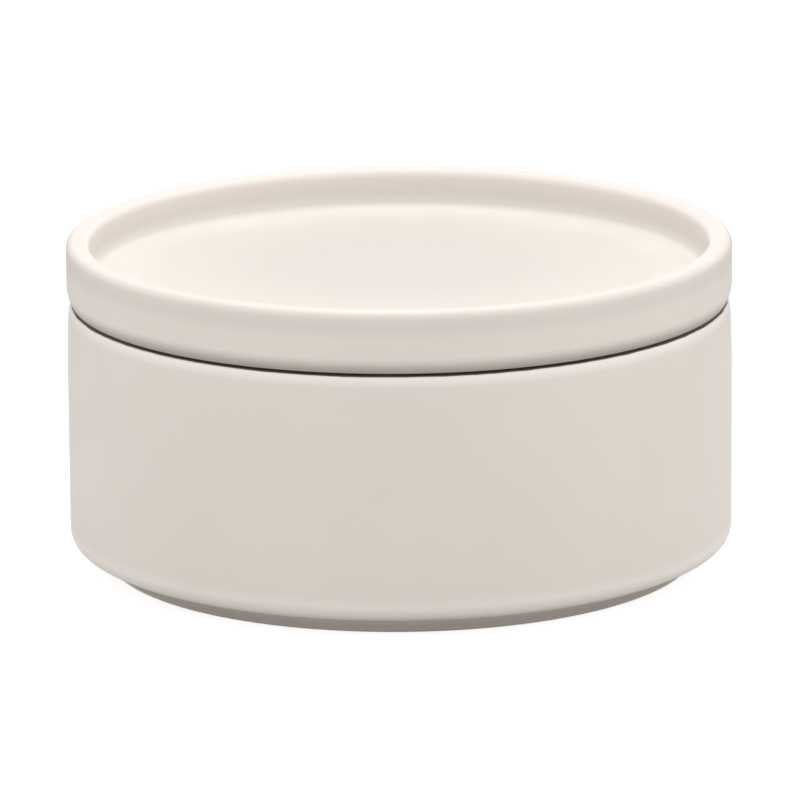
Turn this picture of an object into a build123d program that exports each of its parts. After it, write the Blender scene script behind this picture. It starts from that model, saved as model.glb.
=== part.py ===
from build123d import *
import os

# A round stoneware box with a lift-off lid, whose raised rim makes the lid a shallow tray.
# The origin is the middle of the plane that the foot ring stands on, and +Z goes up through the lid.

# Outside of the closed box
outer_radius = 77.5
seat_height = 61.55
lid_height = 14.95

# Box body: an even cast wall on a floor, with a rounded heel between the wall and the foot ring,
# and a lip that leans in a little before its own rounding
body_wall = 5.4
floor_thickness = 5.0
heel_radius = 4.0
floor_corner_radius = 9.0
lip_bevel_height = 1.9
lip_bevel_width = 0.8
lip_bevel_radius = 5.0
lip_outer_radius = 0.9
lip_inner_radius = 0.5

# Foot ring: set in from the wall, with a shallow recess inside it that never touches the table
foot_step = 8.7
foot_height = 4.3
foot_width = 4.6
foot_edge_radius = 0.7
foot_root_radius = 0.8
recess_depth = 2.2
recess_corner_radius = 1.4

# Lid: a plate with a rim round the tray on top, and a rounded lower edge
rim_wall = 5.2
rim_outer_radius = 1.8
rim_inner_radius = 1.3
rim_draft = 0.4
tray_depth = 8.6
tray_corner_radius = 2.8
plate_thickness = 5.0
lid_edge_radius = 3.5

# Seat: a narrow bearing band under the lid stands on the lip. Outside it the underside is relieved,
# which leaves a shadow gap between the band and the lid's rounded edge
gap_flat = 0.6
bearing_edge_radius = 0.15
shadow_gap = 0.35

# Locating ring: hangs from the plate into the mouth, and keeps the lid from sliding off the lip
ring_clearance = 1.2
ring_wall = 3.4
ring_depth = 5.0
ring_tip_radius = 1.2
ring_root_radius = 0.8

# Places that more than one outline uses
mouth_radius = outer_radius - body_wall
foot_radius = outer_radius - foot_step
foot_inner_radius = foot_radius - foot_width
floor_height = recess_depth + floor_thickness
ring_radius = mouth_radius - ring_clearance
ring_inner_radius = ring_radius - ring_wall
ring_tip_height = seat_height - ring_depth
bearing_radius = outer_radius - lid_edge_radius - gap_flat
lid_edge_height = seat_height + shadow_gap
lip_bevel_foot = seat_height - lip_bevel_height
lip_bevel_top_radius = outer_radius - lip_bevel_width
rim_height = seat_height + lid_height
rim_bore_radius = outer_radius - rim_wall
tray_radius = rim_bore_radius - rim_draft
tray_height = rim_height - tray_depth
plate_height = tray_height - plate_thickness


def corner(section, across, up):
    """The corner of a half section at a distance across from the axis and a height up."""
    return section.vertices().sort_by_distance((across, up))[0]


# Box body, turned from one half section
with BuildPart() as box_body:
    with BuildSketch(Plane.XZ) as body_section:
        with BuildLine():
            Polyline(
                (0, recess_depth),
                (foot_inner_radius, recess_depth),
                (foot_inner_radius, 0),
                (foot_radius, 0),
                (foot_radius, foot_height),
                (outer_radius, foot_height),
                (outer_radius, lip_bevel_foot),
                (lip_bevel_top_radius, seat_height),
                (mouth_radius, seat_height),
                (mouth_radius, floor_height),
                (0, floor_height),
                close=True,
            )
        make_face()
        fillet(corner(body_section, foot_inner_radius, recess_depth), recess_corner_radius)
        fillet(corner(body_section, foot_inner_radius, 0), foot_edge_radius)
        fillet(corner(body_section, foot_radius, 0), foot_edge_radius)
        fillet(corner(body_section, foot_radius, foot_height), foot_root_radius)
        fillet(corner(body_section, outer_radius, foot_height), heel_radius)
        fillet(corner(body_section, outer_radius, lip_bevel_foot), lip_bevel_radius)
        fillet(corner(body_section, lip_bevel_top_radius, seat_height), lip_outer_radius)
        fillet(corner(body_section, mouth_radius, seat_height), lip_inner_radius)
        fillet(corner(body_section, mouth_radius, floor_height), floor_corner_radius)
    revolve(axis=Axis.Z)

# Lid, with its tray, rim and locating ring cast in one piece
with BuildPart() as lid:
    with BuildSketch(Plane.XZ) as lid_section:
        with BuildLine():
            Polyline(
                (0, plate_height),
                (ring_inner_radius, plate_height),
                (ring_inner_radius, ring_tip_height),
                (ring_radius, ring_tip_height),
                (ring_radius, seat_height),
                (bearing_radius, seat_height),
                (bearing_radius, lid_edge_height),
                (outer_radius, lid_edge_height),
                (outer_radius, rim_height),
                (rim_bore_radius, rim_height),
                (tray_radius, tray_height),
                (0, tray_height),
                close=True,
            )
        make_face()
        fillet(corner(lid_section, ring_inner_radius, plate_height), ring_root_radius)
        fillet(corner(lid_section, ring_inner_radius, ring_tip_height), ring_tip_radius)
        fillet(corner(lid_section, ring_radius, ring_tip_height), ring_tip_radius)
        fillet(corner(lid_section, ring_radius, seat_height), ring_root_radius)
        fillet(corner(lid_section, bearing_radius, seat_height), bearing_edge_radius)
        fillet(corner(lid_section, bearing_radius, lid_edge_height), bearing_edge_radius)
        fillet(corner(lid_section, outer_radius, lid_edge_height), lid_edge_radius)
        fillet(corner(lid_section, outer_radius, rim_height), rim_outer_radius)
        fillet(corner(lid_section, rim_bore_radius, rim_height), rim_inner_radius)
        fillet(corner(lid_section, tray_radius, tray_height), tray_corner_radius)
    revolve(axis=Axis.Z)

box_body.part.label = "box_body"
lid.part.label = "lid"

os.makedirs("parts", exist_ok=True)
export_step(box_body.part, "parts/box_body.step")
export_step(lid.part, "parts/lid.step")
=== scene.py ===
import math

import bmesh
import bpy
from bpy.props import FloatProperty, FloatVectorProperty, IntProperty, PointerProperty
from mathutils import Matrix, Vector


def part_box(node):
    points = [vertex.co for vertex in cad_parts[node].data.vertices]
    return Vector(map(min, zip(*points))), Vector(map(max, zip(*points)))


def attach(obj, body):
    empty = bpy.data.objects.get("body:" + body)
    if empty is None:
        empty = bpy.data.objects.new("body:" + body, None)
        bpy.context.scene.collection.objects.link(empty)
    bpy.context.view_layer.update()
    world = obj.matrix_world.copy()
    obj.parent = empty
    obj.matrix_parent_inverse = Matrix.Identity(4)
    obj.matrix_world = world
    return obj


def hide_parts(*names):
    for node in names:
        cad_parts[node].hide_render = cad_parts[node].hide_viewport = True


bl_info = {
    "name": "Round Lidded Stoneware Box",
    "version": (1, 0, 0),
    "blender": (4, 5, 0),
    "location": "View3D > Sidebar > Stoneware Box",
    "description": "Turns the body and the tray lid of a glazed stoneware box and sets them in a pale studio",
    "category": "Add Mesh",
}

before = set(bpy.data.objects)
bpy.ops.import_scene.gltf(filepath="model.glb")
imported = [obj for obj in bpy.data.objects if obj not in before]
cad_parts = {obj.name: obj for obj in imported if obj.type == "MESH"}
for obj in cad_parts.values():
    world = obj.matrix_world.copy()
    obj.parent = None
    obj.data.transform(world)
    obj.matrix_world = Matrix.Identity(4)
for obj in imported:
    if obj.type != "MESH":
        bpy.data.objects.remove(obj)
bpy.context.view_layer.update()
BODY_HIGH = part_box("box_body")[1]
LID_LOW, LID_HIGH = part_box("lid")

# Vertices that lie closer than this are one vertex, once a section has been spun
WELD_DISTANCE = 0.000001
FULL_TURN = 2 * math.pi
SQUARE = math.pi / 2

# Noise values at which the clouds and the flecks of the glaze start to show, and at which they are full
CLOUD_EDGES = (0.35, 0.65)
FLECK_EDGES = (0.68, 0.78)


def length(name, description, metres):
    """A length that a user can change, shown to a hundredth of a millimetre or finer."""
    return FloatProperty(name=name, description=description, default=metres, unit="LENGTH", precision=4)


def angle(name, description, degrees):
    """An angle that a user can change. It is written here in degrees and kept in radians."""
    return FloatProperty(
        name=name, description=description, default=math.radians(degrees), unit="ROTATION"
    )


def share(name, description, part):
    """A share from none to all that a user can change."""
    return FloatProperty(
        name=name, description=description, default=part, min=0.0, max=1.0, subtype="FACTOR"
    )


def tint(name, description, red_green_blue):
    """A colour that a user can change."""
    return FloatVectorProperty(
        name=name, description=description, default=red_green_blue, subtype="COLOR"
    )


class BoxBodySizes(bpy.types.PropertyGroup):
    """Sizes of the box body"""

    outer_radius: length("Outer radius", "Radius of the straight wall", BODY_HIGH.x)
    seat_height: length("Lip height", "Height of the lip that the lid rests on", BODY_HIGH.z)
    wall: length("Wall", "Thickness of the cast wall", 0.0054)
    floor: length("Floor", "Thickness of the floor above the recess", 0.005)
    heel_radius: length("Heel", "Rounding between the wall and the underside", 0.004)
    floor_corner: length("Floor corner", "Rounding between the inside wall and floor", 0.009)
    shoulder_height: length("Shoulder height", "How far under the lip the wall starts to lean in", 0.008)
    shoulder_width: length("Shoulder width", "How far the wall leans in under the lip", 0.00035)
    shoulder_run: length("Shoulder run", "Length of the slow curve on each side of the shoulder", 0.0055)
    lip_lean_height: length("Lip lean height", "Height over which the lip leans in", 0.0019)
    lip_lean_width: length("Lip lean width", "How far the lip leans in", 0.0005)
    lip_lean_run: length("Lip lean run", "Length of the curve on each side of the lean's foot", 0.0006)
    lip_outer: length("Lip outer edge", "Rounding of the lip towards the outside", 0.0005)
    lip_inner: length("Lip inner edge", "Rounding of the lip towards the mouth", 0.0005)
    foot_step: length("Foot step", "How far the foot ring is set in from the wall", 0.0087)
    foot_height: length("Foot height", "Height of the foot ring under the heel", 0.0043)
    foot_width: length("Foot width", "Width of the foot ring", 0.0046)
    foot_edge: length("Foot edge", "Rounding of the foot ring at the table", 0.0007)
    foot_root: length("Foot root", "Hollow rounding where the foot meets the heel", 0.0008)
    recess: length("Recess", "Depth of the recess inside the foot ring", 0.0022)
    recess_corner: length("Recess corner", "Rounding of the recess inside the foot", 0.0014)


class LidSizes(bpy.types.PropertyGroup):
    """Sizes of the lid, whose radius and seat are the box body's"""

    rim_height: length("Rim height", "Height of the rim above the table", LID_HIGH.z)
    rim_wall: length("Rim wall", "Thickness of the rim", 0.0052)
    rim_outer_edge: length("Rim outer edge", "Rounding of the rim's top towards the outside", 0.0018)
    rim_inner_edge: length("Rim inner edge", "Rounding of the rim's top towards the tray", 0.0013)
    rim_draft: length("Rim draft", "How far the rim widens towards its root", 0.0004)
    tray_depth: length("Tray depth", "Depth of the tray below the rim", 0.0086)
    tray_corner: length("Tray corner", "Rounding between the rim and the tray floor", 0.0028)
    plate: length("Plate", "Thickness of the tray floor", 0.005)
    lower_edge: length("Lower edge", "From the wall in to the flat over the gap", 0.0035)
    edge_lean_width: length("Edge lean width", "How far the lower edge leans in", 0.00119)
    edge_lean_height: length("Edge lean height", "Height over which it leans in", 0.00176)
    edge_rounding: length("Edge rounding", "Rounding of the leaning lower edge", 0.0062)
    corner_rounding: length("Corner rounding", "Rounding of the corner over the gap", 0.00035)
    corner_rise: length("Corner rise", "How far the gap widens towards that corner", 0.00037)
    shadow_gap: length("Shadow gap", "Height of the slot outside the bearing band", 0.00035)
    gap_flat: length("Gap flat", "Flat run between the bearing band and the lower edge", 0.0006)
    bearing_edge: length("Bearing edge", "Rounding of the bearing band's step", 0.00015)
    ring_clearance: length("Ring clearance", "Gap between the locating ring and the mouth", 0.0012)
    ring_wall: length("Ring wall", "Thickness of the locating ring", 0.0034)
    ring_tip: length("Ring tip", "Rounding of the locating ring's tip", 0.0012)
    ring_root: length("Ring root", "Hollow rounding at the ring's root", 0.0008)


class TurningDetail(bpy.types.PropertyGroup):
    """How finely the turned pieces are divided"""

    turn_steps: IntProperty(name="Turn steps", description="Faces round the axis", default=256, min=32)
    corner_steps: IntProperty(
        name="Corner steps", description="Faces round each rounded edge", default=12, min=2
    )
    run_cuts: IntProperty(name="Run cuts", description="Cuts along each long straight run", default=9, min=0)


class GlazeColours(bpy.types.PropertyGroup):
    """Colours and sheen of the glaze and of the clay where it is left bare, and the lighter and darker
    colours painted on as highlight and shade
    """

    glaze: tint("Glaze", "Warm off-white of the glaze", (0.783, 0.719, 0.654))
    # Darker colour of the random clouds, also used as painted shade in the tray's middle and on the band
    # under the rim
    cloud_and_shade_glaze: tint("Pooled glaze", "Where the glaze has pooled or run", (0.687, 0.63, 0.575))
    # Lighter colour of the random flecks, also used as painted highlight on the rim's top and inner edge, the
    # lip, the top of the heel and the tray's edge
    fleck_and_highlight_glaze: tint("Thin glaze", "Where the glaze has drawn thin", (0.945, 0.89, 0.85))
    # Painted shade at the foot of the rim's inner wall, in the tray's corner
    corner_shade_glaze: tint("Gathered glaze", "Where it is thickest, in the tray", (0.672, 0.633, 0.611))
    # Painted shade on the lid's lower edge over the gap, on the foot ring and on the lower heel
    under_shade_glaze: tint("Wiped glaze", "Where it was wiped back and the clay shows through", (0.4, 0.36, 0.325))
    # Dark fired clay, real on the foot ring's underside and the seat, and dark enough to stand in as painted
    # shade in the gap under the lid
    bare_clay_and_gap_shade: tint("Bare clay", "The fired clay where no glaze is", (0.26, 0.205, 0.165))
    roughness: share("Roughness", "Satin of the glaze", 0.42)
    roughness_change: share("Roughness change", "How much rougher the clouds of the glaze are", 0.05)
    clay_roughness: share("Clay roughness", "Of the bare clay", 0.85)
    specular: share("Specular", "Strength of the satin sheen", 0.3)


class GlazeGrain(bpy.types.PropertyGroup):
    """Clouds, flecks and ripples of the glaze, and the grit of the bare clay"""

    cloud_scale: FloatProperty(name="Cloud scale", description="Slow clouds per metre", default=28.0)
    cloud_amount: share("Cloud amount", "How far the clouds take the pooled colour", 0.15)
    fleck_scale: FloatProperty(name="Fleck scale", description="Fine flecks per metre", default=900.0)
    fleck_amount: share("Fleck amount", "How far the flecks take the thin colour", 0.15)
    ripple_scale: FloatProperty(
        name="Ripple scale", description="Ripples of the skin per metre", default=260.0
    )
    grit_scale: FloatProperty(
        name="Grit scale", description="Grains of the bare clay per metre", default=2600.0
    )
    grit_depth: FloatProperty(name="Grit depth", description="Depth of the grit, in ripples", default=2.0)
    relief: length("Relief", "Height of the ripples", 0.00004)
    relief_strength: share("Relief strength", "Of the bump", 0.35)
    edge_wander: length("Edge wander", "How far the glaze's edge strays from its line", 0.0006)
    wander_scale: FloatProperty(
        name="Wander scale", description="Waves of the glaze's edge per metre", default=220.0
    )
    edge_softness: length("Edge softness", "Width over which the glaze ends", 0.00012)


class GlazePlaces(bpy.types.PropertyGroup):
    """Where highlight and shade are painted on the glaze, and where the clay is bare. A ring round the axis
    has a reach and an amount
    """

    # Painted highlight on the rim's top
    rim_highlight_reach: length("Rim reach", "How far from the rim's top the glaze is thin", 0.0036)
    rim_highlight_amount: share("Rim amount", "How thin it is there", 0.25)
    # Painted highlight on the rim's inner edge
    inner_edge_drop: length("Inner edge drop", "How far under the top its inner edge is thinnest", 0.0008)
    inner_edge_reach: length("Inner edge reach", "How far it is thin there", 0.0017)
    inner_edge_amount: share("Inner edge amount", "How thin it is there", 0.8)
    # Painted shade on the band just under the rim's top
    run_drop: length("Run drop", "How far under the rim's top the glaze has run", 0.0036)
    run_reach: length("Run reach", "How far it has run there", 0.0032)
    run_amount: share("Run amount", "How much has run there", 0.6)
    # Painted shade at the foot of the rim's inner wall, in the tray's corner
    gathered_rise: length("Gathered rise", "Height in the tray's corner at which glaze gathered", 0.0034)
    gathered_reach: length("Gathered reach", "How far it has gathered there", 0.0046)
    gathered_amount: share("Gathered amount", "How much has gathered there", 0.72)
    # Painted shade on the lid's lower edge, just over the gap
    wiped_rise: length("Wiped rise", "How high over the lid's lower corner the glaze is wiped", 0.0002)
    wiped_reach: length("Wiped reach", "How far it is wiped there", 0.0038)
    wiped_amount: share("Wiped amount", "How far down it is wiped there", 1.0)
    # Painted highlight on the lip's rounded edge
    lip_highlight_reach: length("Lip reach", "How far from the lip's edge the glaze is thin", 0.003)
    lip_highlight_amount: share("Lip amount", "How thin it is there", 0.8)
    # Painted light that lifts the shade where the heel starts to turn
    heel_highlight_turn: angle("Heel thin turn", "How far round the heel the glaze is thin", 12)
    heel_highlight_reach: length("Heel thin reach", "How far it is thin there", 0.0035)
    heel_highlight_amount: share("Heel thin amount", "How thin it is there", 0.3)
    # Painted shade on the lower heel, which turns down towards the table
    heel_shade_turn: angle("Heel drip turn", "How far round the heel the glaze has dripped off", 62)
    heel_shade_reach: length("Heel drip reach", "How far it has dripped off there", 0.0018)
    heel_shade_amount: share("Heel drip amount", "How much has dripped off there", 0.38)
    # Painted shade on the foot ring under the heel
    foot_shade_rise: length("Foot rise", "Height at which the foot ring is wiped most", 0.001075)
    foot_shade_reach: length("Foot reach", "How far up and down it is wiped", 0.0032)
    foot_shade_amount: share("Foot amount", "How far down it is wiped there", 0.64)
    # The bare clay on the lip reaches out under the lid's edge as painted shade in the gap
    bare_lip_inset: length("Bare lip inset", "From the lip's outside in to where the glaze ends", 0.00018)
    bare_reach: length("Bare reach", "Height over which a flat is bare", 0.0004)
    # Painted shade in the middle of the tray, a little behind the axis
    tray_shade_core: length("Pool core", "Radius up to which the pool in the tray is even", 0.02)
    tray_shade_reach: length("Pool reach", "Radius at which the pool ends", 0.066)
    tray_shade_shift: length("Pool shift", "How far the pool lies off the axis", 0.012)
    tray_shade_wander: length("Pool wander", "How far its edge strays with the clouds", 0.004)
    tray_shade_depth: length("Pool depth", "How far up the tray's corner it reaches", 0.001)
    # Painted highlight towards the tray's edge, against the shade of its corner
    shore_start: length("Shore start", "Radius at which the tray's glaze starts to thin", 0.054)
    shore_end: length("Shore end", "Radius at which it is thinnest", 0.071)
    tray_highlight_amount: share("Shore amount", "How thin it is there", 0.65)


class StudioSettings(bpy.types.PropertyGroup):
    """Camera, floor, lamps and grey cards"""

    camera_distance: length("Camera distance", "From the aim point to the lens", 1.9177)
    camera_elevation: angle("Camera elevation", "How far the camera looks down", 14.092)
    camera_roll: angle("Camera roll", "Tilt of the picture about the line of sight", -0.447)
    aim_height: length("Aim height", "Height on the box's axis of the picture's centre", 0.03712)
    aim_side: length("Aim side", "How far the picture's centre lies to the right of the axis", -0.00003)
    focal_length: FloatProperty(
        name="Focal length", description="Of the lens, in millimetres on a 36 mm sensor", default=369.2
    )
    floor_size: length("Floor size", "Side of the floor", 12.0)
    floor_colour: tint("Floor colour", "Pale floor under the box", (0.65, 0.65, 0.65))
    floor_glow: FloatProperty(
        name="Floor glow", description="White that the camera sees on top of the lit floor", default=0.75
    )
    dome_strength: FloatProperty(
        name="Dome strength", description="Even light from all round", default=0.98
    )
    lamp_distance: length("Lamp distance", "From the aim point to each soft box", 1.4)
    overhead_power: FloatProperty(
        name="Overhead power", description="Of the soft box behind, in watts", default=3.94
    )
    overhead_elevation: angle("Overhead elevation", "How high the soft box behind stands", 66)
    overhead_size: length("Overhead size", "Side of the soft box behind", 0.5)
    left_power: FloatProperty(
        name="Left power", description="Of the soft box at the left, in watts", default=1.08
    )
    right_power: FloatProperty(
        name="Right power", description="Of the soft box at the right, in watts", default=2.44
    )
    side_elevation: angle("Side elevation", "How high the soft boxes at the sides stand", 35)
    side_size: length("Side size", "Side of each of them", 1.0)
    card_side: length("Card side", "From the box's middle plane to each grey card", 0.26)
    card_back: length("Card back", "How far each card stands behind the box", 0.28)
    card_turn: angle("Card turn", "How far each card is turned towards the box", 40)
    card_height: length("Card height", "Of each card", 0.14)
    card_length: length("Card length", "Of each card", 0.36)
    card_colour: tint("Card colour", "Grey of the cards", (0.12, 0.12, 0.12))


def leave_nothing_selected():
    """Operators act on all that is selected, so each piece starts from nothing."""
    bpy.ops.object.select_all(action="DESELECT")


def draw_half_section(name, points):
    """Draws a half section in the XZ plane, one vertex after another, and stays in edit mode."""
    leave_nothing_selected()
    bpy.ops.mesh.primitive_plane_add(size=BODY_HIGH.x)
    piece = bpy.context.active_object
    piece.name = name
    piece.data.name = name
    bpy.ops.object.mode_set(mode="EDIT")
    bpy.ops.mesh.select_mode(type="VERT")
    bpy.ops.mesh.merge(type="CENTER")
    across, up = points[0]
    bpy.ops.transform.translate(value=(across, 0, up))
    for next_across, next_up in points[1:]:
        step = (next_across - across, 0, next_up - up)
        bpy.ops.mesh.extrude_region_move(TRANSFORM_OT_translate={"value": step})
        across, up = next_across, next_up
    return piece


def select_nearest(piece, kind, place):
    """Selects the one vertex or edge of a half section that lies nearest to a place."""
    bpy.ops.mesh.select_mode(type=kind)
    bpy.ops.mesh.select_all(action="DESELECT")
    section = bmesh.from_edit_mesh(piece.data)
    target = Vector((place[0], 0, place[1]))
    if kind == "VERT":
        nearest = min(section.verts, key=lambda vert: (vert.co - target).length)
    else:
        nearest = min(
            section.edges,
            key=lambda edge: ((edge.verts[0].co + edge.verts[1].co) / 2 - target).length,
        )
    nearest.select_set(True)
    bmesh.update_edit_mesh(piece.data)


def run_off(radius, turned):
    """How far from a corner its rounding starts, where the outline turns by an angle.

    At a square corner that is the radius itself.
    """
    return radius * math.tan(turned / 2)


def spin_closed(piece, steps):
    """Spins the half section about the axis into a closed piece, with smooth shading."""
    bpy.ops.mesh.select_mode(type="VERT")
    bpy.ops.mesh.select_all(action="SELECT")
    bpy.ops.mesh.spin(steps=steps, angle=FULL_TURN, center=(0, 0, 0), axis=(0, 0, 1))
    bpy.ops.mesh.select_all(action="SELECT")
    bpy.ops.mesh.remove_doubles(threshold=WELD_DISTANCE)
    bpy.ops.mesh.normals_make_consistent(inside=False)
    bpy.ops.object.mode_set(mode="OBJECT")
    bpy.ops.object.shade_smooth()
    even = piece.modifiers.new("Even Flats", "WEIGHTED_NORMAL")
    even.keep_sharp = False
    bpy.ops.object.modifier_apply(modifier=even.name)


def turn_piece(name, points, roundings, runs, detail):
    """Draws a half section, rounds its corners, divides its long straight runs and spins it.

    A rounding is a corner and how far from it the curve starts. A run is given by its middle.
    """
    piece = draw_half_section(name, points)
    for corner, start in roundings:
        select_nearest(piece, "VERT", corner)
        bpy.ops.mesh.bevel(
            offset=start, offset_type="OFFSET", affect="VERTICES",
            segments=detail.corner_steps, profile=0.5, clamp_overlap=False,
        )
    for middle in runs:
        select_nearest(piece, "EDGE", middle)
        bpy.ops.mesh.subdivide(number_cuts=detail.run_cuts)
    spin_closed(piece, detail.turn_steps)
    return piece


def feed(tree, socket, value):
    """Links another node's output to a socket, or sets a number or colour on it."""
    if isinstance(value, bpy.types.NodeSocket):
        tree.links.new(value, socket)
    else:
        socket.default_value = value


def maths(tree, operation, *values):
    """A Math node on sockets or numbers, and its output."""
    node = tree.nodes.new("ShaderNodeMath")
    node.operation = operation
    for socket, value in zip(node.inputs, values):
        feed(tree, socket, value)
    return node.outputs[0]


def noise(tree, vector, scale, detail, roughness):
    """A Noise Texture on a vector, and its value."""
    node = tree.nodes.new("ShaderNodeTexNoise")
    for name, value in (("Vector", vector), ("Scale", scale), ("Detail", detail), ("Roughness", roughness)):
        feed(tree, node.inputs[name], value)
    return node.outputs["Fac"]


def ramp(tree, value, low, high, to_low=0.0, to_high=1.0):
    """A smooth step of a value from low to high, as a Map Range node."""
    node = tree.nodes.new("ShaderNodeMapRange")
    node.interpolation_type = "SMOOTHSTEP"
    for name, number in (
        ("Value", value), ("From Min", low), ("From Max", high), ("To Min", to_low), ("To Max", to_high),
    ):
        feed(tree, node.inputs[name], number)
    return node.outputs["Result"]


def blend_colours(tree, amount, first, second):
    """A Mix node on two colours, and its colour.

    Its sockets go by number, because colours have others than numbers and vectors under the same names.
    """
    node = tree.nodes.new("ShaderNodeMix")
    node.data_type = "RGBA"
    for number, value in ((0, amount), (6, first), (7, second)):
        feed(tree, node.inputs[number], value)
    return node.outputs[2]


def mix_shaders(tree, amount, first, second):
    """A Mix Shader node, and its shader."""
    node = tree.nodes.new("ShaderNodeMixShader")
    for socket, value in zip(node.inputs, (amount, first, second)):
        tree.links.new(value, socket)
    return node.outputs[0]


def opaque(colour):
    """A colour with the full alpha that a colour socket also holds."""
    return (*colour, 1.0)


def empty_tree(owner, output_type):
    """Leaves only an output in a new material or world, and gives its tree and the output's socket."""
    owner.use_nodes = True
    tree = owner.node_tree
    tree.nodes.clear()
    return tree, tree.nodes.new(output_type).inputs["Surface"]


def new_group(name, numbers, results, vector=True):
    """A shader node group with its sockets, and its two end nodes."""
    group = bpy.data.node_groups.new(name, "ShaderNodeTree")
    if vector:
        group.interface.new_socket("Vector", in_out="INPUT", socket_type="NodeSocketVector")
    for socket_name, value in numbers.items():
        socket = group.interface.new_socket(socket_name, in_out="INPUT", socket_type="NodeSocketFloat")
        socket.default_value = value
    for socket_name in results:
        group.interface.new_socket(socket_name, in_out="OUTPUT", socket_type="NodeSocketFloat")
    return group, group.nodes.new("NodeGroupInput"), group.nodes.new("NodeGroupOutput")


def place_group(tree, name, **values):
    """A node of one of the groups, with numbers set on its inputs or sockets linked to them."""
    node = tree.nodes.new("ShaderNodeGroup")
    node.node_tree = bpy.data.node_groups[name]
    for socket_name, value in values.items():
        feed(tree, node.inputs[socket_name.replace("_", " ").title()], value)
    return node


def round_place_group():
    """Gives the distance from the box's axis and the height of each point."""
    group, start, end = new_group("Round Place", {}, ("Radius", "Height"))
    parts = group.nodes.new("ShaderNodeSeparateXYZ")
    flat = group.nodes.new("ShaderNodeCombineXYZ")
    distance = group.nodes.new("ShaderNodeVectorMath")
    distance.operation = "LENGTH"
    group.links.new(start.outputs["Vector"], parts.inputs[0])
    group.links.new(parts.outputs["X"], flat.inputs["X"])
    group.links.new(parts.outputs["Y"], flat.inputs["Y"])
    group.links.new(flat.outputs[0], distance.inputs[0])
    group.links.new(distance.outputs["Value"], end.inputs["Radius"])
    group.links.new(parts.outputs["Z"], end.inputs["Height"])


def glaze_grain_group():
    """Gives the slow clouds of a glaze, its fine flecks and the ripple of its skin."""
    group, start, end = new_group(
        "Glaze Grain",
        {"Cloud Scale": 1.0, "Fleck Scale": 1.0, "Ripple Scale": 1.0},
        ("Clouds", "Flecks", "Ripple"),
    )
    given = start.outputs
    clouds = noise(group, given["Vector"], given["Cloud Scale"], detail=3.0, roughness=0.5)
    flecks = noise(group, given["Vector"], given["Fleck Scale"], detail=1.0, roughness=0.5)
    ripple = noise(group, given["Vector"], given["Ripple Scale"], detail=2.0, roughness=0.45)
    group.links.new(ramp(group, clouds, *CLOUD_EDGES), end.inputs["Clouds"])
    group.links.new(ramp(group, flecks, *FLECK_EDGES), end.inputs["Flecks"])
    group.links.new(ripple, end.inputs["Ripple"])


def bare_clay_group():
    """A mask of a flat band that the glaze leaves bare, with a slightly wandering edge, and its grit."""
    group, start, end = new_group(
        "Bare Clay Band",
        {
            "Radius": 0.0, "Height": 0.0, "Inner Radius": 0.0, "Outer Radius": 0.0, "Middle Height": 0.0,
            "Reach": 0.0, "Edge Wander": 0.0, "Wander Scale": 1.0, "Edge Softness": 0.0, "Grit Scale": 1.0,
        },
        ("Mask", "Grit"),
    )
    given = start.outputs
    wander = noise(group, given["Vector"], given["Wander Scale"], detail=2.0, roughness=0.5)
    shift = maths(group, "MULTIPLY", maths(group, "SUBTRACT", wander, 0.5), given["Edge Wander"])
    radius = maths(group, "ADD", given["Radius"], shift)
    offset = maths(group, "ABSOLUTE", maths(group, "SUBTRACT", given["Height"], given["Middle Height"]))
    mask = None
    for inside in (
        maths(group, "SUBTRACT", radius, given["Inner Radius"]),
        maths(group, "SUBTRACT", given["Outer Radius"], radius),
        maths(group, "SUBTRACT", given["Reach"], offset),
    ):
        part = ramp(group, inside, 0.0, given["Edge Softness"])
        mask = part if mask is None else maths(group, "MULTIPLY", mask, part)
    group.links.new(mask, end.inputs["Mask"])
    grit = noise(group, given["Vector"], given["Grit Scale"], detail=3.0, roughness=0.7)
    group.links.new(grit, end.inputs["Grit"])


def edge_ring_group():
    """A mask that is full on one round edge of a turned piece and fades out at its reach."""
    group, start, end = new_group(
        "Edge Ring",
        {"Radius": 0.0, "Height": 0.0, "Edge Radius": 0.0, "Edge Height": 0.0, "Reach": 1.0},
        ("Mask",),
        vector=False,
    )
    given = start.outputs
    across = maths(group, "SUBTRACT", given["Radius"], given["Edge Radius"])
    up = maths(group, "SUBTRACT", given["Height"], given["Edge Height"])
    both = maths(group, "ADD", maths(group, "POWER", across, 2.0), maths(group, "POWER", up, 2.0))
    part = maths(group, "DIVIDE", maths(group, "SQRT", both), given["Reach"])
    group.links.new(ramp(group, part, 0.0, 1.0, 1.0, 0.0), end.inputs["Mask"])


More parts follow.
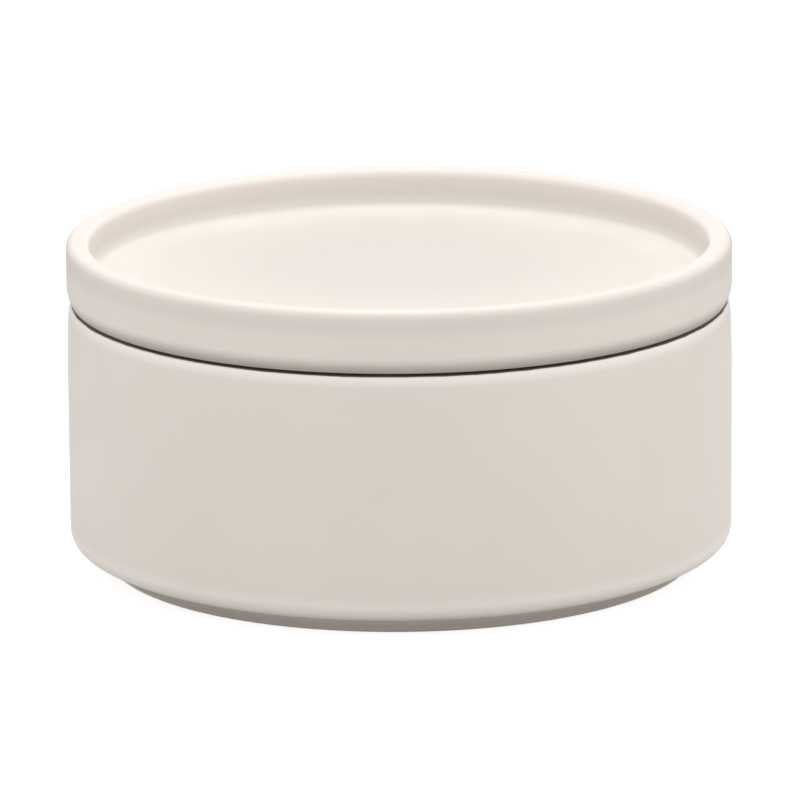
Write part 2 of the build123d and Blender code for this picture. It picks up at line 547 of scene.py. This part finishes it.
def tray_shade_and_highlight_group():
    """Masks of the painted shade in the middle of the tray, a little off the axis, and of the painted
    highlight towards its edge.
    """
    # Its Pool output is the painted shade and its Shore output the painted highlight
    group, start, end = new_group(
        "Tray Pool",
        {
            "Clouds": 0.0, "Tray Height": 0.0, "Rim Radius": 1.0, "Depth": 1.0, "Core": 0.0, "Reach": 1.0,
            "Shift": 0.0, "Wander": 0.0, "Shore Start": 0.0, "Shore End": 1.0,
        },
        ("Pool", "Shore"),
    )
    given = start.outputs
    middle = group.nodes.new("ShaderNodeCombineXYZ")
    offset = group.nodes.new("ShaderNodeVectorMath")
    offset.operation = "SUBTRACT"
    group.links.new(given["Shift"], middle.inputs["Y"])
    group.links.new(given["Vector"], offset.inputs[0])
    group.links.new(middle.outputs[0], offset.inputs[1])
    from_axis = place_group(group, "Round Place", vector=given["Vector"]).outputs
    from_pool = place_group(group, "Round Place", vector=offset.outputs[0]).outputs
    strays = maths(group, "MULTIPLY", maths(group, "SUBTRACT", given["Clouds"], 0.5), given["Wander"])
    shade_radius = maths(group, "ADD", from_pool["Radius"], strays)
    highlight_radius = maths(group, "ADD", from_axis["Radius"], strays)
    above = maths(group, "SUBTRACT", from_axis["Height"], given["Tray Height"])
    near_floor = ramp(group, maths(group, "ABSOLUTE", above), 0.0, given["Depth"], 1.0, 0.0)
    within_rim = maths(group, "LESS_THAN", from_axis["Radius"], given["Rim Radius"])
    on_floor = maths(group, "MULTIPLY", near_floor, within_rim)
    pool = ramp(group, shade_radius, given["Core"], given["Reach"], 1.0, 0.0)
    shore = ramp(group, highlight_radius, given["Shore Start"], given["Shore End"])
    group.links.new(maths(group, "MULTIPLY", pool, on_floor), end.inputs["Pool"])
    group.links.new(maths(group, "MULTIPLY", shore, on_floor), end.inputs["Shore"])


def glaze_material(name, context, bare_bands, edge_rings, tray_place=None):
    """A satin glaze with clouds and flecks, painted highlight and painted shade in rings, painted shade in
    the middle of a tray with a painted highlight towards its edge, and bare clay in bands.

    A bare band is its inner radius, outer radius and height. An edge ring is its place as a radius and
    a height, the name under which the places hold its reach and amount, and its colour.
    """
    colours = context.scene.stoneware_glaze
    grains = context.scene.stoneware_grain
    places = context.scene.stoneware_places
    material = bpy.data.materials.new(name)
    tree, surface = empty_tree(material, "ShaderNodeOutputMaterial")
    shader = tree.nodes.new("ShaderNodeBsdfPrincipled")
    tree.links.new(shader.outputs[0], surface)
    place = tree.nodes.new("ShaderNodeTexCoord").outputs["Object"]
    polar = place_group(tree, "Round Place", vector=place)
    radius, height = polar.outputs["Radius"], polar.outputs["Height"]
    grain = place_group(
        tree, "Glaze Grain", vector=place, cloud_scale=grains.cloud_scale,
        fleck_scale=grains.fleck_scale, ripple_scale=grains.ripple_scale,
    ).outputs

    bare = None
    for inner, outer, middle in bare_bands:
        band = place_group(
            tree, "Bare Clay Band", vector=place, radius=radius, height=height, inner_radius=inner,
            outer_radius=outer, middle_height=middle, reach=places.bare_reach,
            edge_wander=grains.edge_wander, wander_scale=grains.wander_scale,
            edge_softness=grains.edge_softness, grit_scale=grains.grit_scale,
        ).outputs
        bare = band["Mask"] if bare is None else maths(tree, "MAXIMUM", bare, band["Mask"])

    layers = [
        (maths(tree, "MULTIPLY", grain["Clouds"], grains.cloud_amount), colours.cloud_and_shade_glaze),
        (maths(tree, "MULTIPLY", grain["Flecks"], grains.fleck_amount), colours.fleck_and_highlight_glaze),
    ]
    if tray_place is not None:
        rim_radius, tray_height = tray_place
        tray = place_group(
            tree, "Tray Pool", vector=place, clouds=grain["Clouds"], tray_height=tray_height,
            rim_radius=rim_radius, depth=places.tray_shade_depth, core=places.tray_shade_core,
            reach=places.tray_shade_reach, shift=places.tray_shade_shift, wander=places.tray_shade_wander,
            shore_start=places.shore_start, shore_end=places.shore_end,
        ).outputs
        # Painted shade darkens the tray's middle, a little behind the axis, and a painted highlight lightens
        # it towards its edge
        layers.append((tray["Pool"], colours.cloud_and_shade_glaze))
        layers.append((maths(tree, "MULTIPLY", tray["Shore"], places.tray_highlight_amount), colours.fleck_and_highlight_glaze))
    for (across, up), ring_name, ring_colour in edge_rings:
        ring = place_group(
            tree, "Edge Ring", radius=radius, height=height, edge_radius=across, edge_height=up,
            reach=getattr(places, ring_name + "_reach"),
        ).outputs
        amount = maths(tree, "MULTIPLY", ring["Mask"], getattr(places, ring_name + "_amount"))
        layers.append((amount, ring_colour))
    # Bare clay, dark enough to serve as painted shade in the gap under the lid as well
    layers.append((bare, colours.bare_clay_and_gap_shade))
    colour = opaque(colours.glaze)
    for amount, layer_colour in layers:
        colour = blend_colours(tree, amount, colour, opaque(layer_colour))
    tree.links.new(colour, shader.inputs["Base Color"])

    roughest = colours.roughness + colours.roughness_change
    satin = ramp(tree, grain["Clouds"], 0.0, 1.0, colours.roughness, roughest)
    rough = maths(tree, "MAXIMUM", satin, maths(tree, "MULTIPLY", bare, colours.clay_roughness))
    tree.links.new(rough, shader.inputs["Roughness"])
    shader.inputs["Specular IOR Level"].default_value = colours.specular

    # The grit is the same in all bands, so it is taken from the last of them
    ripple = maths(tree, "MULTIPLY", grain["Ripple"], maths(tree, "SUBTRACT", 1.0, bare))
    gritty = maths(tree, "MULTIPLY", maths(tree, "MULTIPLY", band["Grit"], bare), grains.grit_depth)
    bump = tree.nodes.new("ShaderNodeBump")
    bump.inputs["Strength"].default_value = grains.relief_strength
    bump.inputs["Distance"].default_value = grains.relief
    tree.links.new(maths(tree, "ADD", ripple, gritty), bump.inputs["Height"])
    tree.links.new(bump.outputs[0], shader.inputs["Normal"])
    return material


def place_on_heel(sizes, turned):
    """A place on the rounded heel, turned from the wall towards the underside."""
    inwards = sizes.heel_radius * (1 - math.cos(turned))
    above_foot = sizes.heel_radius * (1 - math.sin(turned))
    return sizes.outer_radius - inwards, sizes.foot_height + above_foot


class StonewareTurnBody(bpy.types.Operator):
    """Turns the box body: foot ring, recess, heel, wall, lip and inside"""

    bl_idname = "stoneware.turn_body"
    bl_label = "Box Body"

    def execute(self, context):
        sizes = context.scene.stoneware_body
        colours = context.scene.stoneware_glaze
        places = context.scene.stoneware_places
        outer, seat = sizes.outer_radius, sizes.seat_height
        mouth = outer - sizes.wall
        foot = outer - sizes.foot_step
        foot_inner = foot - sizes.foot_width
        floor = sizes.recess + sizes.floor
        lip_lean = math.atan2(sizes.lip_lean_width, sizes.lip_lean_height)
        shoulder = (outer, seat - sizes.shoulder_height)
        lean_foot = (outer - sizes.shoulder_width, seat - sizes.lip_lean_height)
        lip_edge = (lean_foot[0] - sizes.lip_lean_width, seat)
        points = [
            (0, sizes.recess),
            (foot_inner, sizes.recess),
            (foot_inner, 0),
            (foot, 0),
            (foot, sizes.foot_height),
            (outer, sizes.foot_height),
            shoulder,
            lean_foot,
            lip_edge,
            (mouth, seat),
            (mouth, floor),
            (0, floor),
        ]
        roundings = (
            ((foot_inner, sizes.recess), sizes.recess_corner),
            ((foot_inner, 0), sizes.foot_edge),
            ((foot, 0), sizes.foot_edge),
            ((foot, sizes.foot_height), sizes.foot_root),
            ((outer, sizes.foot_height), sizes.heel_radius),
            (shoulder, sizes.shoulder_run),
            (lean_foot, sizes.lip_lean_run),
            (lip_edge, run_off(sizes.lip_outer, SQUARE - lip_lean)),
            ((mouth, seat), sizes.lip_inner),
            ((mouth, floor), sizes.floor_corner),
        )
        runs = (
            (foot_inner / 2, sizes.recess),
            (outer, seat / 2),
            (mouth, (floor + seat) / 2),
            ((mouth - sizes.floor_corner) / 2, floor),
        )
        piece = turn_piece("turned_body", points, roundings, runs, context.scene.stoneware_detail)

        # The bare band on the lip reaches out under the lid's edge, and its dark clay stands in as painted
        # shade in the gap. The rings paint a highlight on the lip and the top of the heel, and shade on the
        # foot ring and the lower heel.
        bare_foot = (foot_inner + sizes.foot_edge / 2, foot - sizes.foot_edge / 2, 0.0)
        bare_lip_and_gap_shade = (mouth + sizes.lip_inner / 2, lip_edge[0] - places.bare_lip_inset, seat)
        piece.data.materials.append(glaze_material("body_satin_glaze", context, (bare_foot, bare_lip_and_gap_shade), (
            (lip_edge, "lip_highlight", colours.fleck_and_highlight_glaze),
            ((foot, places.foot_shade_rise), "foot_shade", colours.under_shade_glaze),
            (place_on_heel(sizes, places.heel_highlight_turn), "heel_highlight", colours.fleck_and_highlight_glaze),
            (place_on_heel(sizes, places.heel_shade_turn), "heel_shade", colours.under_shade_glaze),
        )))
        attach(piece, "box")
        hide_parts("box_body")
        return {"FINISHED"}


class StonewareTurnLid(bpy.types.Operator):
    """Turns the lid: locating ring, bearing band, lower edge, rim, tray and plate"""

    bl_idname = "stoneware.turn_lid"
    bl_label = "Tray Lid"

    def execute(self, context):
        body = context.scene.stoneware_body
        sizes = context.scene.stoneware_lid
        colours = context.scene.stoneware_glaze
        places = context.scene.stoneware_places
        outer, seat = body.outer_radius, body.seat_height
        ring = outer - body.wall - sizes.ring_clearance
        ring_inner = ring - sizes.ring_wall
        tip = LID_LOW.z
        top = sizes.rim_height
        rim_inner = outer - sizes.rim_wall
        tray = rim_inner - sizes.rim_draft
        tray_height = top - sizes.tray_depth
        under = tray_height - sizes.plate
        gap_inner = outer - sizes.lower_edge
        bearing = gap_inner - sizes.gap_flat
        gap_top = seat + sizes.shadow_gap
        edge_lean = math.atan2(sizes.edge_lean_width, sizes.edge_lean_height)
        edge_corner = (outer - sizes.edge_lean_width, gap_top + sizes.corner_rise)
        edge_start = (outer, edge_corner[1] + sizes.edge_lean_height)
        points = [
            (0, under),
            (ring_inner, under),
            (ring_inner, tip),
            (ring, tip),
            (ring, seat),
            (bearing, seat),
            (bearing, gap_top),
            (gap_inner, gap_top),
            edge_corner,
            edge_start,
            (outer, top),
            (rim_inner, top),
            (tray, tray_height),
            (0, tray_height),
        ]
        roundings = (
            ((ring_inner, under), sizes.ring_root),
            ((ring_inner, tip), sizes.ring_tip),
            ((ring, tip), sizes.ring_tip),
            ((ring, seat), sizes.ring_root),
            ((bearing, seat), sizes.bearing_edge),
            ((bearing, gap_top), sizes.bearing_edge),
            (edge_corner, run_off(sizes.corner_rounding, SQUARE - edge_lean)),
            (edge_start, run_off(sizes.edge_rounding, edge_lean)),
            ((outer, top), sizes.rim_outer_edge),
            ((rim_inner, top), sizes.rim_inner_edge),
            ((tray, tray_height), sizes.tray_corner),
        )
        runs = (
            (ring_inner / 2, under),
            (outer, (seat + top) / 2),
            ((tray - sizes.tray_corner) / 2, tray_height),
        )
        piece = turn_piece("turned_lid", points, roundings, runs, context.scene.stoneware_detail)

        # The bare band under the lid runs out over the slot, and its dark clay stands in as painted shade in
        # the gap
        bare_seat_and_gap_shade = (ring + sizes.ring_root, gap_inner, (seat + gap_top) / 2)
        rim_middle = outer - sizes.rim_wall / 2
        piece.data.materials.append(glaze_material("lid_satin_glaze", context, (bare_seat_and_gap_shade,), (
            # Painted shade in the tray's corner, painted highlights on the rim's top and inner edge, and
            # painted shade under the rim and on the lower edge over the gap
            ((tray, tray_height + places.gathered_rise), "gathered", colours.corner_shade_glaze),
            ((rim_middle, top), "rim_highlight", colours.fleck_and_highlight_glaze),
            ((rim_inner, top - places.inner_edge_drop), "inner_edge", colours.fleck_and_highlight_glaze),
            ((outer, top - places.run_drop), "run", colours.cloud_and_shade_glaze),
            ((edge_corner[0], edge_corner[1] + places.wiped_rise), "wiped", colours.under_shade_glaze),
        ), (rim_middle, tray_height)))
        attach(piece, "lid")
        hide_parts("lid")
        return {"FINISHED"}


def reflected(tree, path):
    """One for rays from a reflection or through glass."""
    return maths(tree, "MAXIMUM", path["Is Glossy Ray"], path["Is Transmission Ray"])


def floor_material(colour, glow):
    """A pale floor that keeps the shadow of the box.

    Reflections see it as plain white. The camera sees it lit, with a white glow on top, and looks
    through it from below.
    """
    material = bpy.data.materials.new("pale_floor")
    tree, surface = empty_tree(material, "ShaderNodeOutputMaterial")
    path = tree.nodes.new("ShaderNodeLightPath").outputs
    matt = tree.nodes.new("ShaderNodeBsdfDiffuse")
    matt.inputs["Color"].default_value = opaque(colour)
    white = tree.nodes.new("ShaderNodeEmission")
    glowing = tree.nodes.new("ShaderNodeEmission")
    glowing.inputs["Strength"].default_value = glow
    lit = tree.nodes.new("ShaderNodeAddShader")
    tree.links.new(matt.outputs[0], lit.inputs[0])
    tree.links.new(glowing.outputs[0], lit.inputs[1])
    in_reflections = mix_shaders(tree, reflected(tree, path), matt.outputs[0], white.outputs[0])
    to_camera = mix_shaders(tree, path["Is Camera Ray"], in_reflections, lit.outputs[0])
    underneath = tree.nodes.new("ShaderNodeNewGeometry").outputs["Backfacing"]
    clear = tree.nodes.new("ShaderNodeBsdfTransparent")
    tree.links.new(mix_shaders(tree, underneath, to_camera, clear.outputs[0]), surface)
    return material


def light_dome(strength):
    """A world that lights the box evenly, and looks white to the camera and in reflections."""
    world = bpy.data.worlds.new("studio_dome")
    tree, surface = empty_tree(world, "ShaderNodeOutputWorld")
    path = tree.nodes.new("ShaderNodeLightPath").outputs
    light = tree.nodes.new("ShaderNodeBackground")
    light.inputs["Strength"].default_value = strength
    white = tree.nodes.new("ShaderNodeBackground")
    for background in (light, white):
        background.inputs["Color"].default_value = opaque((1.0, 1.0, 1.0))
    seen = maths(tree, "MAXIMUM", path["Is Camera Ray"], reflected(tree, path))
    tree.links.new(mix_shaders(tree, seen, light.outputs[0], white.outputs[0]), surface)
    return world


def soft_box(name, aim, towards, elevation, distance, size, power):
    """A square area lamp that looks down at an aim from one side."""
    away = math.cos(elevation)
    offset = Vector((towards[0] * away, towards[1] * away, math.sin(elevation))) * distance
    leave_nothing_selected()
    bpy.ops.object.light_add(type="AREA", location=aim + offset)
    lamp = bpy.context.active_object
    lamp.name = name
    lamp.data.size = size
    lamp.data.energy = power
    lamp.rotation_euler = (-offset).to_track_quat("-Z", "Y").to_euler()


def side_card(name, side, settings):
    """A grey card that stands behind the box at one side and darkens its outline, unseen by the camera."""
    leave_nothing_selected()
    bpy.ops.mesh.primitive_plane_add(
        size=1, location=(side * settings.card_side, settings.card_back, settings.card_height / 2),
        rotation=(0, SQUARE, side * settings.card_turn),
    )
    card = bpy.context.active_object
    card.name = name
    card.scale = (settings.card_height, settings.card_length, 1)
    card.visible_camera = False
    material = bpy.data.materials.new(name)
    material.use_nodes = True
    shader = material.node_tree.nodes["Principled BSDF"]
    shader.inputs["Base Color"].default_value = opaque(settings.card_colour)
    shader.inputs["Roughness"].default_value = 1.0
    card.data.materials.append(material)


def photo_camera(aim, settings):
    """The camera at the photo's viewing angle, which looks at an aim from the front."""
    leave_nothing_selected()
    bpy.ops.object.camera_add()
    camera = bpy.context.active_object
    camera.name = "photo_camera"
    back = Vector((0, -math.cos(settings.camera_elevation), math.sin(settings.camera_elevation)))
    look = (-back).to_track_quat("-Z", "Y").to_matrix().to_4x4()
    roll = Matrix.Rotation(settings.camera_roll, 4, "Z")
    camera.matrix_world = Matrix.Translation(aim + back * settings.camera_distance) @ look @ roll
    camera.data.lens = settings.focal_length
    camera.data.clip_end = 2 * settings.floor_size
    return camera


class StonewareSetStudio(bpy.types.Operator):
    """Sets the pale floor, the soft light and the camera"""

    bl_idname = "stoneware.set_studio"
    bl_label = "Studio"

    def execute(self, context):
        settings = context.scene.stoneware_studio
        leave_nothing_selected()
        bpy.ops.mesh.primitive_plane_add(size=settings.floor_size)
        floor = context.active_object
        floor.name = "studio_floor"
        floor.data.materials.append(floor_material(settings.floor_colour, settings.floor_glow))
        context.scene.world = light_dome(settings.dome_strength)
        aim = Vector((settings.aim_side, 0, settings.aim_height))
        sides = (settings.side_elevation, settings.lamp_distance, settings.side_size)
        soft_box(
            "overhead_box", aim, (0, 1), settings.overhead_elevation, settings.lamp_distance,
            settings.overhead_size, settings.overhead_power,
        )
        soft_box("left_box", aim, (-1, 0), *sides, settings.left_power)
        soft_box("right_box", aim, (1, 0), *sides, settings.right_power)
        side_card("left_card", -1, settings)
        side_card("right_card", 1, settings)
        context.scene.camera = photo_camera(aim, settings)
        context.scene.view_settings.view_transform = "Standard"
        return {"FINISHED"}


class StonewarePanel(bpy.types.Panel):
    """Lists the settings, the pieces of the box and the studio in the sidebar"""

    bl_idname = "VIEW3D_PT_stoneware_box"
    bl_label = "Stoneware Box"
    bl_space_type = "VIEW_3D"
    bl_region_type = "UI"
    bl_category = "Stoneware Box"

    def draw(self, context):
        for name, group in SETTINGS.items():
            box = self.layout.box()
            for setting in group.__annotations__:
                box.prop(getattr(context.scene, name), setting)
        for operator in OPERATORS:
            self.layout.operator(operator.bl_idname)


SETTINGS = {
    "stoneware_body": BoxBodySizes,
    "stoneware_lid": LidSizes,
    "stoneware_detail": TurningDetail,
    "stoneware_glaze": GlazeColours,
    "stoneware_grain": GlazeGrain,
    "stoneware_places": GlazePlaces,
    "stoneware_studio": StudioSettings,
}
OPERATORS = (StonewareTurnBody, StonewareTurnLid, StonewareSetStudio)


def register():
    for cls in (*SETTINGS.values(), *OPERATORS, StonewarePanel):
        bpy.utils.register_class(cls)
    for name, group in SETTINGS.items():
        setattr(bpy.types.Scene, name, PointerProperty(type=group))


def unregister():
    for name in SETTINGS:
        delattr(bpy.types.Scene, name)
    for cls in reversed((*SETTINGS.values(), *OPERATORS, StonewarePanel)):
        bpy.utils.unregister_class(cls)


def main():
    """Builds the whole scene in order."""
    register()
    round_place_group()
    glaze_grain_group()
    bare_clay_group()
    edge_ring_group()
    tray_shade_and_highlight_group()
    bpy.ops.stoneware.turn_body()
    bpy.ops.stoneware.turn_lid()
    bpy.ops.stoneware.set_studio()


if __name__ == "__main__":
    main()
